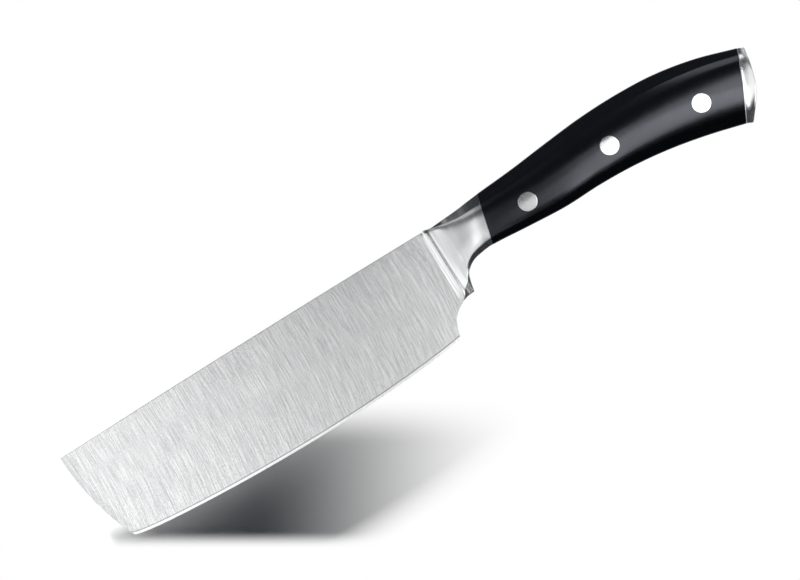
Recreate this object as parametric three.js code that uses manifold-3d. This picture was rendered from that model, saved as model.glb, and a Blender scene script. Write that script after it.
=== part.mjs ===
// A forged vegetable knife with a riveted handle and a butt cap, in millimetres.
// It lies on its right side: +X runs from the tip to the butt, +Y from the edge to the spine, +Z is up.
// While it is modelled, x = y = 0 is the spine at the bolster's front and z = 0 is the blade's middle plane.

import * as THREE from "three";
import { mergeVertices } from "three/addons/utils/BufferGeometryUtils.js";
import Module from "manifold-3d";

// Blade
const bladeLength = 170;
const bladeFrontHeight = 40.4;
const bladeFrontRadius = 96;
const bladeHeelHeight = 43.3;
const spineArch = 0.5;
const spineThickness = 2.3;
const tipTaper = 0.6;
const thicknessBehindEdge = 0.75;
const edgeHalfAngle = 15;
const edgeLand = 0.1;
const frontBand = 3;
const frontThinning = 0.1;
// The edge is one cubic curve: its inner control points, seen from the front corner and from the heel.
const edgePullAtFront = new THREE.Vector2(-0.2, -2.7);
const edgePullAtHeel = new THREE.Vector2(-60.6, -8);

// Choil, the round notch between the heel and the finger guard
const choilRadius = 14;
const choilCentreX = 2;
const choilCentreDepth = 44.4;

// Step, bead and groove at the bolster's front
const beadFootX = -4.2;
const beadRoot = 0.35;
const beadStepX = -3.4;
const beadStep = 0.3;
const beadX = -2.4;
const beadHalfThickness = 1.9;
const beadRise = 0.35;
const grooveX = -0.6;
const grooveHalfThickness = 1.82;
const grooveDip = 0.1;

// Finger guard and bolster, which ends in a slanted seam
const guardTopX = 0.9;
const guardDip = 0.25;
const guardFootX = 2.1;
const guardHalfThickness = 2.5;
const bolsterLength = 23;
const seamTop = 1.4;
const seamBottom = -18.7;
const seamLean = 5.1;
const seamHalfThickness = 7.6;

// Squareness of the grip's sections above and below the crown, where 2 is an ellipse
const neckUpper = 9;
const neckLower = 3.2;
const seamUpper = 2.8;
const seamLower = 3.6;
const capLower = 2.1;

// Facets that are ground along the top and the foot of the grip: their heights, seen from the side, and
// how far they lean away from the sides
const topFacetTilt = 40;
const footFacetTilt = 25;
const beadFacet = 0.3;
const grooveFootFacet = 3;
const guardFootFacet = 4.6;
const seamTopFacet = 3.8;
const seamFootFacet = 2.7;
const handleTopFacet = 4.7;
const capFootFacet = 0.4;

// Handle, from the bolster's seam to the cap's seam, measured along its top
const handleLength = 116.3;
const handleHump = 7.4;
const handleHollow = 3.94;
const handleHalfThickness = 9.3;
const capSeamTop = -4.1;
const capSeamBottom = -31.1;
const capSeamLean = 12.3;

// Tang and its tail in the cap
const tangThickness = 2.4;
const tailHalfHeight = 5;
const tailLength = 2.4;
const tailRoot = 2;

// Butt cap: its length at top and foot, how much its end stands out between them and how pointed that
// curve is, the share by which its sides draw in, and the radius of its edge
const capRim = 2.95;
const capCrown = 2.55;
const capCurve = 1.5;
const capDraw = 0.12;
const capEdgeRadius = 0.5;

// Rivets: a solid pin in a hollow shank, with a head on either side. Setbacks are from the nearer seam
// or, for the middle one, from the bolster's. Heights are from the handle's underside.
const rivetFrontSetback = 18.75;
const rivetFrontHeight = 8.95;
const rivetMiddleSetback = 58.2;
const rivetMiddleHeight = 11.8;
const rivetRearSetback = 17.2;
const rivetRearHeight = 12.85;
const rivetHeadDiameter = 7.8;
const rivetShankDiameter = 5;
const rivetPinDiameter = 3;
const rivetSeatHeight = 5;
const rivetShankGap = 0.6;
const rivetBoreFloor = 1;
const rivetPinGap = 1;

// Clearances, and how far a cut reaches past what it cuts
const bondGap = 0.1;
const seamGap = 0.1;
const rivetClearance = 0.1;
const tailClearance = 0.15;
const cutMargin = 3;

// Facets
const ringQuarter = 9;
const creaseStep = 5;
const roundSides = 28;
const curveSteps = 28;
const neckSteps = 12;
const bolsterSteps = 14;
const handleSteps = 26;
const capSteps = 4;

const steel = { color: 0xb9bbbe, roughness: 0.32, metalness: 1 };
const polishedSteel = { color: 0xc4c6c9, roughness: 0.18, metalness: 1 };
const blackPlastic = { color: 0x111114, roughness: 0.4, metalness: 0 };

const { lerp, mapLinear, degToRad } = THREE.MathUtils;
const wasm = await Module();
wasm.setup();

// A geometry as a solid: shared corners are merged and flat slivers dropped.
function solid(geometry) {
  const bare = new THREE.BufferGeometry();
  bare.setAttribute("position", geometry.getAttribute("position"));
  bare.setIndex(geometry.getIndex());
  const merged = mergeVertices(bare, 1e-4);
  const index = merged.getIndex().array;
  const triangles = [];
  for (let i = 0; i < index.length; i += 3) {
    const [a, b, c] = index.slice(i, i + 3);
    if (a !== b && b !== c && c !== a) triangles.push(a, b, c);
  }
  const vertProperties = new Float32Array(merged.getAttribute("position").array);
  const triVerts = new Uint32Array(triangles);
  return new wasm.Manifold(new wasm.Mesh({ numProp: 3, vertProperties, triVerts }));
}

function piece(name, body, look) {
  const mesh = body.getMesh();
  const shared = new THREE.BufferGeometry();
  shared.setAttribute("position", new THREE.BufferAttribute(mesh.vertProperties, 3));
  shared.setIndex(new THREE.BufferAttribute(mesh.triVerts, 1));
  const geometry = shared.toNonIndexed();
  geometry.computeVertexNormals();
  const made = new THREE.Mesh(geometry, new THREE.MeshStandardMaterial(look));
  made.name = name;
  return made;
}

// A closed body through rings of equally many points, with a fan on each end.
function loft(rings) {
  const count = rings[0].length;
  const points = rings.flat();
  const index = [];
  for (let r = 0; r + 1 < rings.length; r += 1) {
    for (let i = 0; i < count; i += 1) {
      const a = r * count + i;
      const b = r * count + ((i + 1) % count);
      index.push(a, b + count, b, a, a + count, b + count);
    }
  }
  const last = points.length - count;
  const centre = (ring) => ring.reduce((sum, p) => sum.add(p), new THREE.Vector3()).divideScalar(count);
  points.push(centre(rings[0]), centre(rings.at(-1)));
  for (let i = 0; i < count; i += 1) {
    const next = (i + 1) % count;
    index.push(points.length - 2, i, next);
    index.push(points.length - 1, last + next, last + i);
  }
  const geometry = new THREE.BufferGeometry().setFromPoints(points);
  geometry.setIndex(index);
  return solid(geometry);
}

// A block whose corners are moved by place(u, v, w): u along it, v up it and w through it, each 0 to 1.
function block(steps, place) {
  const box = new THREE.BoxGeometry(1, 1, 1, steps, 1, 1).translate(0.5, 0.5, 0.5);
  const position = box.getAttribute("position");
  for (let i = 0; i < position.count; i += 1) {
    const moved = place(position.getX(i), position.getY(i), position.getZ(i));
    position.setXYZ(i, moved.x, moved.y, moved.z);
  }
  return solid(box);
}

// A body turned about an upright axis at a place, from a profile of radius and height pairs.
function turned(profile, place) {
  const points = profile.map(([radius, height]) => new THREE.Vector2(radius, height));
  const lathe = new THREE.LatheGeometry(points, roundSides).rotateX(Math.PI / 2);
  return solid(lathe.translate(place.x, place.y, 0));
}

const frontX = (y) => bladeFrontRadius - bladeLength - Math.sqrt(bladeFrontRadius ** 2 - y ** 2);
const spineY = (x) => spineArch * (1 - ((2 * x) / bladeLength + 1) ** 2);
const choilX = (y) => choilCentreX - Math.sqrt(choilRadius ** 2 - (y + choilCentreDepth) ** 2);
const choilY = (x) => Math.sqrt(choilRadius ** 2 - (x - choilCentreX) ** 2) - choilCentreDepth;

const frontCorner = new THREE.Vector2(frontX(-bladeFrontHeight), -bladeFrontHeight);
const heel = new THREE.Vector2(choilX(-bladeHeelHeight), -bladeHeelHeight);
const edge = new THREE.CubicBezierCurve(
  frontCorner,
  frontCorner.clone().add(edgePullAtFront),
  heel.clone().add(edgePullAtHeel),
  heel,
);
const edgeLow = Math.min(...edge.getPoints(curveSteps).map((point) => point.y));

// Half the blade's thickness where it is ground flat: a plane that falls to the tip and to the edge.
function grindHalf(x, y) {
  const fall = (spineThickness - thicknessBehindEdge) * (y / edgeLow);
  return Math.max(spineThickness + (tipTaper * x) / bladeLength - fall, edgeLand) / 2;
}

// The blade's outline: spine, round front, curved edge, choil and a straight back inside the bead.
function bladeShape() {
  const shape = new THREE.Shape();
  shape.moveTo(beadX, spineY(beadX));
  for (let i = 1; i <= curveSteps; i += 1) {
    const x = lerp(beadX, -bladeLength, i / curveSteps);
    shape.lineTo(x, spineY(x));
  }
  for (let i = 1; i <= curveSteps; i += 1) {
    const y = (-bladeFrontHeight * i) / curveSteps;
    shape.lineTo(frontX(y), y);
  }
  shape.bezierCurveTo(edge.v1.x, edge.v1.y, edge.v2.x, edge.v2.y, edge.v3.x, edge.v3.y);
  const angleAt = (x, y) => Math.atan2(y + choilCentreDepth, x - choilCentreX);
  const heelAngle = angleAt(heel.x, heel.y);
  const beadAngle = angleAt(beadX, choilY(beadX));
  shape.absarc(choilCentreX, -choilCentreDepth, choilRadius, heelAngle, beadAngle, true);
  return shape;
}

// A point of the edge, carried on level past either end.
function edgePoint(share) {
  const point = edge.getPoint(THREE.MathUtils.clamp(share, 0, 1));
  if (share < 0) point.x = -bladeLength - cutMargin;
  if (share > 1) point.x = cutMargin;
  return point;
}

// The blade is a plate that is ground flat on both sides, then along its front, then along its edge.
function makeBlade() {
  const options = { depth: spineThickness, bevelEnabled: false, curveSegments: curveSteps };
  const blank = new THREE.ExtrudeGeometry(bladeShape(), options).translate(0, 0, -spineThickness / 2);
  const sides = block(1, (u, v, w) => {
    const x = lerp(-bladeLength - cutMargin, 0, u);
    const y = lerp(edgeLow - edgeLand, spineArch + cutMargin, v);
    return { x, y, z: (2 * w - 1) * grindHalf(x, y) };
  });
  const front = block(curveSteps, (u, v, w) => {
    const y = lerp(cutMargin, edgeLow - cutMargin, u);
    const back = v * (bladeLength + cutMargin);
    const thin = Math.max(grindHalf(frontX(y) + frontBand, y) - frontThinning, edgeLand / 2);
    const half = thin + (back * frontThinning) / frontBand;
    return { x: frontX(y) + back, y, z: (2 * w - 1) * half };
  });
  const keen = block(curveSteps + 2, (u, v, w) => {
    const low = edgePoint((u * (curveSteps + 2) - 1) / curveSteps);
    const rise = v * (spineArch + cutMargin - edgeLow);
    const half = edgeLand / 2 + rise * Math.tan(degToRad(edgeHalfAngle));
    return { x: low.x, y: low.y + rise, z: (2 * w - 1) * half };
  });
  return solid(blank).intersect(sides).intersect(front).intersect(keen);
}

// A cross-section of the grip. It lies on a line from its bottom to its top, swells by half its
// thickness to either side, has an upper and a lower squareness, where 2 is an ellipse, and is cut by a
// facet at its top and at its foot.
function station(topX, topY, bottomX, bottomY, half, upper, lower, topFacet, footFacet) {
  return [topX, topY, bottomX, bottomY, half, upper, lower, topFacet, footFacet];
}

// The section whose top lies at x, on smooth curves through a list of stations.
function sectionAt(stations, x) {
  const final = stations.length - 2;
  const found = stations.findIndex((next, k) => k > 0 && next[0] >= x) - 1;
  const i = found < 0 ? final : found;
  const before = stations[Math.max(i - 1, 0)];
  const [from, to] = [stations[i], stations[i + 1]];
  const after = stations[Math.min(i + 2, final + 1)];
  const span = to[0] - from[0];
  const w = (x - from[0]) / span;
  const values = from.map((start, k) => {
    const leave = (span * (to[k] - before[k])) / (to[0] - before[0]);
    const arrive = (span * (after[k] - start)) / (after[0] - from[0]);
    const step = to[k] - start;
    return start + w * (leave + w * (3 * step - 2 * leave - arrive + w * (leave + arrive - 2 * step)));
  });
  const [topX, topY, bottomX, bottomY, half, upper, lower, topFacet, footFacet] = values;
  const top = new THREE.Vector3(topX, topY, 0);
  const bottom = new THREE.Vector3(bottomX, bottomY, 0);
  const halfHeight = top.distanceTo(bottom) / 2;
  const above = { half, halfHeight, squareness: upper, facet: topFacet, tilt: degToRad(topFacetTilt) };
  const below = { half, halfHeight, squareness: lower, facet: footFacet, tilt: degToRad(footFacetTilt) };
  return { top, bottom, above, below };
}

function sections(stations, from, to, steps) {
  return Array.from({ length: steps + 1 }, (_, i) => sectionAt(stations, lerp(from, to, i / steps)));
}

// Where the facet of a quarter starts, as a share of half the height.
const creaseOf = (quarter) => 1 - quarter.facet / quarter.halfHeight;

// A point of a quarter at an angle from the crown: how far it reaches to the top or the foot, as a share
// of half the height, and how far it stands out, which the facet limits.
function quarterPoint(quarter, angle) {
  const { half, halfHeight, squareness, tilt } = quarter;
  const crease = creaseOf(quarter);
  const reach = Math.sin(angle) ** (2 / squareness);
  const swell = half * Math.max(Math.cos(angle), 0) ** (2 / squareness);
  const creaseSwell = half * (1 - crease ** squareness) ** (1 / squareness);
  const facet = creaseSwell - (reach - crease) * halfHeight * Math.tan(tilt);
  return { reach, out: Math.min(swell, facet) };
}

// Angles from the crown to an end, with one on the crease where the facet starts.
function quarterAngles(quarter, end) {
  const crease = Math.asin(creaseOf(quarter) ** (quarter.squareness / 2));
  return Array.from({ length: ringQuarter + 1 }, (_, i) =>
    i < creaseStep
      ? (crease * i) / creaseStep
      : lerp(crease, end, (i - creaseStep) / (ringQuarter - creaseStep)),
  );
}

// The points of a section's left side, from its bottom over the crown to its top, as far as the angles
// at which the two quarters end.
function sidePoints(section, footEnd, topEnd) {
  const place = (quarter, angle, sign) => {
    const { reach, out } = quarterPoint(quarter, angle);
    const point = new THREE.Vector3().lerpVectors(section.bottom, section.top, (1 + sign * reach) / 2);
    return point.setZ(out);
  };
  const foot = quarterAngles(section.below, footEnd).map((angle) => place(section.below, angle, -1));
  const top = quarterAngles(section.above, topEnd).map((angle) => place(section.above, angle, 1));
  return [...foot.reverse(), ...top.slice(1)];
}

// A whole section: its left side, then the same points mirrored, from the top back to the bottom.
function wholeRing(section) {
  const left = sidePoints(section, Math.PI / 2, Math.PI / 2);
  const right = left.slice(1, -1).map((point) => point.clone().setZ(-point.z));
  return [...left, ...right.reverse()];
}

// The part of a section that is left of a plane z = inner.
function sideRing(section, inner) {
  const limit = ({ half, squareness }) => Math.acos((inner / half) ** (squareness / 2));
  return sidePoints(section, limit(section.below), limit(section.above));
}

// The bolster's front: out of the blade, over the step and the bead and through the groove to the guard.
function neckStation(x, rise, half, footFacet) {
  return station(x, spineY(x) + rise, x, choilY(x), half, neckUpper, neckLower, beadFacet, footFacet);
}

const bladeHalf = spineThickness / 2;
const guardFootY = choilY(guardFootX);
const guardShape = [guardHalfThickness, neckUpper, neckLower, beadFacet, guardFootFacet];
const guard = station(guardTopX, -guardDip, guardFootX, guardFootY, ...guardShape);
const neckStations = [
  neckStation(beadFootX - beadRoot, -beadRoot, bladeHalf - beadRoot, beadFacet),
  neckStation(beadFootX + beadRoot, 0, bladeHalf + beadRoot / 2, beadFacet),
  neckStation(beadStepX, 0, bladeHalf + beadStep, beadFacet),
  neckStation(beadX, beadRise, beadHalfThickness, 2 * beadFacet),
  neckStation(grooveX, -grooveDip, grooveHalfThickness, grooveFootFacet),
  guard,
];

const seamFootX = bolsterLength - seamLean;
const seamShape = [seamHalfThickness, seamUpper, seamLower, seamTopFacet, seamFootFacet];
const seam = station(bolsterLength, seamTop, seamFootX, seamBottom, ...seamShape);

// A station part of the way from the guard to the seam: shares for the top, its rise, the finger curve
// below it, its rise and the swelling side, then its squareness and shares of the seam's two facets.
function bolsterStation(along, rise, below, belowRise, swell, upper, lower, topFacet, footFacet) {
  const shares = [along, rise, below, belowRise, swell];
  const shape = shares.map((share, k) => lerp(guard[k], seam[k], share));
  return station(...shape, upper, lower, topFacet * seamTopFacet, footFacet * seamFootFacet);
}

// A station along the handle: its share of the length, and shares of the lean, the hump of the top and
// the hollow of the bottom over straight lines from seam to seam, and of the swelling side. Then come its
// upper squareness and its share of the top facet. The foot grows rounder along the handle.
function handleStation(share, lean, hump, hollow, swell, upper, topFacet) {
  const topX = bolsterLength + share * handleLength;
  const topY = lerp(seamTop, capSeamTop, share) + hump * handleHump;
  const bottomX = topX - lerp(seamLean, capSeamLean, lean);
  const bottomY = lerp(seamBottom, capSeamBottom, share) + hollow * handleHollow;
  const half = lerp(seamHalfThickness, handleHalfThickness, swell);
  const lower = lerp(seamLower, capLower, share);
  const footFacet = lerp(seamFootFacet, capFootFacet, Math.min(2 * share, 1));
  return station(topX, topY, bottomX, bottomY, half, upper, lower, topFacet * handleTopFacet, footFacet);
}

const gripStations = [
  guard,
  bolsterStation(0.14, 0.12, 0.063, 0.35, 0.15, 7, neckLower, 0.3, 0.9),
  bolsterStation(0.32, 0.24, 0.184, 0.68, 0.4, 5.5, 3.3, 0.55, 0.4),
  bolsterStation(0.55, 0.42, 0.405, 0.89, 0.69, 4.2, 3.5, 0.8, 0.5),
  bolsterStation(0.77, 0.73, 0.677, 0.97, 0.9, 3.3, seamLower, 0.93, 0.75),
  seam,
  handleStation(1 / 7, 0.07, 0.255, 0.094, 0.42, 2.5, 0.92),
  handleStation(2 / 7, 0.15, 0.577, 0.247, 0.75, 2.35, 1),
  handleStation(3 / 7, 0.26, 0.859, 0.745, 0.88, 2.3, 1),
  handleStation(4 / 7, 0.4, 0.992, 0.999, 0.94, 2.35, 0.98),
  handleStation(5 / 7, 0.57, 0.943, 0.936, 1, 2.6, 0.94),
  handleStation(6 / 7, 0.76, 0.61, 0.573, 1, 3.1, 0.77),
  handleStation(1, 1, 0, 0, 0.94, 4, 0.47),
];
const capX = bolsterLength + handleLength;
const seamSection = sectionAt(gripStations, bolsterLength);
const capSection = sectionAt(gripStations, capX);
const gripRings = [
  ...sections(gripStations, guardTopX, bolsterLength, bolsterSteps),
  ...sections(gripStations, bolsterLength, capX, handleSteps).slice(1),
].map(wholeRing);
const gripForm = loft(gripRings);

// The middle of a section, the direction up its line and the axis square to it, towards the butt.
function frameOf(section) {
  const middle = section.top.clone().lerp(section.bottom, 0.5);
  const up = section.top.clone().sub(section.bottom).normalize();
  const axis = new THREE.Vector3(up.y, -up.x, 0);
  return { middle, up, axis };
}

// A block square to a section's line: from one place to another along its axis, half its height up and
// down its line, and from one height to another through the thickness.
function squareBlock(section, [from, to], halfHeight, [low, high]) {
  const { middle, up, axis } = frameOf(section);
  return block(1, (u, v, w) =>
    middle
      .clone()
      .addScaledVector(axis, lerp(from, to, u))
      .addScaledVector(up, lerp(-halfHeight, halfHeight, v))
      .setZ(lerp(low, high, w)),
  );
}

// Where a rivet stands, on the section at x and a height up from its bottom.
function rivetPlace(x, height) {
  const section = sectionAt(gripStations, x);
  return section.bottom.clone().addScaledVector(frameOf(section).up, height);
}

const rivets = {
  front: rivetPlace(bolsterLength + rivetFrontSetback, rivetFrontHeight),
  middle: rivetPlace(bolsterLength + rivetMiddleSetback, rivetMiddleHeight),
  rear: rivetPlace(capX - rivetRearSetback, rivetRearHeight),
};
const seatHeight = tangThickness / 2 + rivetSeatHeight;
const rivetReach = handleHalfThickness + seamHalfThickness;

function roundHole(place, diameter, from) {
  const radius = diameter / 2 + rivetClearance;
  return turned([[0, from], [radius, from], [radius, rivetReach], [0, rivetReach]], place);
}

const shankHole = (place) => roundHole(place, rivetShankDiameter, -rivetReach);
const headSeat = (place) => roundHole(place, rivetHeadDiameter, seatHeight);

// Blade, bolster and tang are one forging. The grip is milled flat behind the bolster's shoulder, which
// leaves the tang as tall as the handle, and a tail stands out of the tang for the cap.
function makeForging() {
  const neck = sections(neckStations, neckStations[0][0], guardTopX, neckSteps).map(wholeRing);
  const half = tangThickness / 2;
  const bed = (heights) => squareBlock(seamSection, [0, handleLength + cutMargin], handleLength, heights);
  let forging = loft([...neck, ...gripRings.slice(1)])
    .subtract(bed([half, rivetReach]))
    .subtract(bed([-rivetReach, -half]))
    .add(squareBlock(capSection, [-tailRoot, tailLength], tailHalfHeight, [-half, half]))
    .add(makeBlade());
  for (const place of Object.values(rivets)) forging = forging.subtract(shankHole(place));
  return forging;
}

// A scale is one side of the handle between the seams, drilled and counterbored for the rivets.
function makeScale() {
  const inner = tangThickness / 2 + bondGap;
  const lengths = sections(gripStations, bolsterLength + seamGap, capX - seamGap, handleSteps);
  let scale = loft(lengths.map((section) => sideRing(section, inner)));
  for (const place of Object.values(rivets)) {
    scale = scale.subtract(shankHole(place)).subtract(headSeat(place));
  }
  return scale;
}

// The cap carries the handle's last section on along its axis and draws its sides in. A small round edge
// leads to its end, which is curved from top to foot alone.
function makeCap() {
  const { middle, up, axis } = frameOf(capSection);
  const size = capSection.top.distanceTo(middle);
  const rimScale = 1 - capEdgeRadius / size;
  const endOut = (height) => capRim + capCrown * (1 - Math.abs(height / size) ** capCurve);
  const ring = wholeRing(capSection);
  const ringAt = (along, scale, inset) =>
    ring.map((point) => {
      const placed = middle.clone().lerp(point, scale);
      const height = placed.clone().sub(middle).dot(up);
      placed.z *= 1 - capDraw * along ** 2;
      return placed.addScaledVector(axis, lerp(seamGap, endOut(height) - inset, along));
    });
  const rings = [];
  for (let i = 0; i < capSteps; i += 1) rings.push(ringAt(i / capSteps, 1, capEdgeRadius));
  for (const turn of [0, 30, 60, 90]) {
    const angle = degToRad(turn);
    rings.push(ringAt(1, lerp(rimScale, 1, Math.cos(angle)), capEdgeRadius * (1 - Math.sin(angle))));
  }
  for (const share of [0.75, 0.5, 0.25, 0.05]) rings.push(ringAt(1, share * rimScale, 0));
  const shell = loft(rings);
  const half = tangThickness / 2 + tailClearance;
  const depth = [-cutMargin, tailLength + tailClearance];
  return shell.subtract(squareBlock(capSection, depth, tailHalfHeight + tailClearance, [-half, half]));
}

// The male half has its head on the left and a pin that stops short of the bore's floor. Both heads are
// ground flush with the handle.
function makeRivetMale(place) {
  const head = rivetHeadDiameter / 2;
  const pin = rivetPinDiameter / 2;
  const seat = seatHeight + rivetClearance;
  const end = -seatHeight + rivetBoreFloor + rivetPinGap;
  const profile = [[0, end], [pin, end], [pin, seat], [head, seat], [head, rivetReach], [0, rivetReach]];
  return turned(profile, place).intersect(gripForm);
}

// The female half has its head on the right and a hollow shank that stops short of the male head.
function makeRivetFemale(place) {
  const head = rivetHeadDiameter / 2;
  const shank = rivetShankDiameter / 2;
  const bore = rivetPinDiameter / 2 + rivetClearance;
  const seat = -seatHeight - rivetClearance;
  const end = seatHeight - rivetShankGap;
  const floor = -seatHeight + rivetBoreFloor;
  const outside = [[0, -rivetReach], [head, -rivetReach], [head, seat], [shank, seat], [shank, end]];
  const inside = [[bore, end], [bore, floor], [0, floor]];
  return turned([...outside, ...inside], place).intersect(gripForm);
}

const knife = new THREE.Group();
knife.add(piece("blade_forging", makeForging(), steel));

const scale = makeScale();
const leftScale = piece("scale_left", scale, blackPlastic);
const rightScale = piece("scale_right", scale, blackPlastic);
rightScale.scale.z = -1;
knife.add(leftScale, rightScale);

knife.add(piece("butt_cap", makeCap(), polishedSteel));

for (const [name, place] of Object.entries(rivets)) {
  knife.add(piece(`rivet_${name}_male`, makeRivetMale(place), steel));
  knife.add(piece(`rivet_${name}_female`, makeRivetFemale(place), steel));
}

// The origin is the middle of the underside of the knife's box.
const box = new THREE.Box3().setFromObject(knife, true);
const middle = box.getCenter(new THREE.Vector3());
knife.position.set(-middle.x, -middle.y, -box.min.z);
knife.updateMatrixWorld(true);

export default knife;
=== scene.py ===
"""The looks of a forged vegetable knife: ground blade, bolster, black scales, rivets and butt cap."""

import math

import bpy
import numpy as np
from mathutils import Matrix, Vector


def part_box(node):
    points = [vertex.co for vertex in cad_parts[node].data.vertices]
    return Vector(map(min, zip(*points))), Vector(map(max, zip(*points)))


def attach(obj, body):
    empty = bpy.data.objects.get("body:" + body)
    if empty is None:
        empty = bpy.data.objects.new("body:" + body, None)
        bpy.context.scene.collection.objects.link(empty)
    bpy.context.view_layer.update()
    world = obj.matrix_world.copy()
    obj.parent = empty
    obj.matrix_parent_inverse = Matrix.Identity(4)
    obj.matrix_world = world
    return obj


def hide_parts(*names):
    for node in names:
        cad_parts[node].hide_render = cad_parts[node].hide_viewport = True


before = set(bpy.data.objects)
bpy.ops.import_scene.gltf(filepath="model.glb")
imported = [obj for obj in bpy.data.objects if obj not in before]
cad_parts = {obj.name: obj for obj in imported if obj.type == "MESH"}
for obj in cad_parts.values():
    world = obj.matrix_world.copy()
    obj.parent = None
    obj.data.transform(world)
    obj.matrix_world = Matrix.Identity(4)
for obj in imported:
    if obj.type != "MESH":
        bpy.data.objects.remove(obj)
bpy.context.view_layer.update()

bl_info = {
    "name": "Vegetable Knife Looks",
    "version": (1, 0, 0),
    "blender": (4, 5, 0),
    "location": "3D View > Sidebar > Knife",
    "description": "Builds the finished surfaces of a forged vegetable knife around its solid parts",
    "category": "Mesh",
}

MM = 0.001
FORGING = "blade_forging"
RIVET_NAMES = ("front", "middle", "rear")


# Fields of the property groups: a value and a note

def milli(value, note):
    return bpy.props.FloatProperty(description=note, default=value * MM, unit="LENGTH", precision=5)


def degrees(value, note):
    return bpy.props.FloatProperty(
        description=note, default=math.radians(value), subtype="ANGLE", unit="ROTATION")


def number(value, note):
    return bpy.props.FloatProperty(description=note, default=value)


def tint(value, note):
    return bpy.props.FloatVectorProperty(
        description=note, default=value, subtype="COLOR", size=3, min=0.0, max=1.0)


class KnifeBladeSizes(bpy.types.PropertyGroup):
    """Sizes of the blade. Its design frame has x = y = 0 on the spine at the bolster's front."""

    length: milli(170, "From the front to the bolster, along the spine")
    front_height: milli(40.4, "From the spine to the front's lower corner")
    front_radius: milli(96, "Radius of the round front")
    heel_height: milli(43.3, "From the spine to the heel")
    spine_arch: milli(0.5, "Rise of the spine between its ends")
    spine_thickness: milli(2.3, "Thickness of the spine at the bolster")
    tip_taper: milli(0.6, "Thickness that the spine loses up to the front")
    edge_thickness: milli(0.75, "Where the edge's own grind starts")
    edge_land: milli(0.1, "Width of the edge itself")
    edge_angle: degrees(15, "Slope of each side of the edge")
    edge_lead_front: milli(0.2, "How far the edge first swings out to the front")
    edge_pull_front: milli(2.7, "How steeply the edge leaves the front corner")
    edge_pull_heel: milli(60.6, "How far the edge runs straight from the heel")
    edge_dip_heel: milli(8, "How steeply the edge leaves the heel")
    front_band: milli(3, "Width of the thinner band along the front")
    front_thinning: milli(0.1, "What the front band loses on each side")
    rounding: milli(0.16, "Radius of the broken corners of spine, front and choil")
    root_start: milli(7.2, "Where the blade starts to thicken towards the bolster")
    root_end: milli(3.6, "Where that thickening ends, inside the bead")
    root_rise: milli(0.14, "Thickness gained there on each side")
    choil_radius: milli(14, "Radius of the notch between heel and guard")
    choil_x: milli(2, "Centre of the choil behind the bolster's front")
    choil_depth: milli(44.4, "Centre of the choil below the spine")


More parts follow.
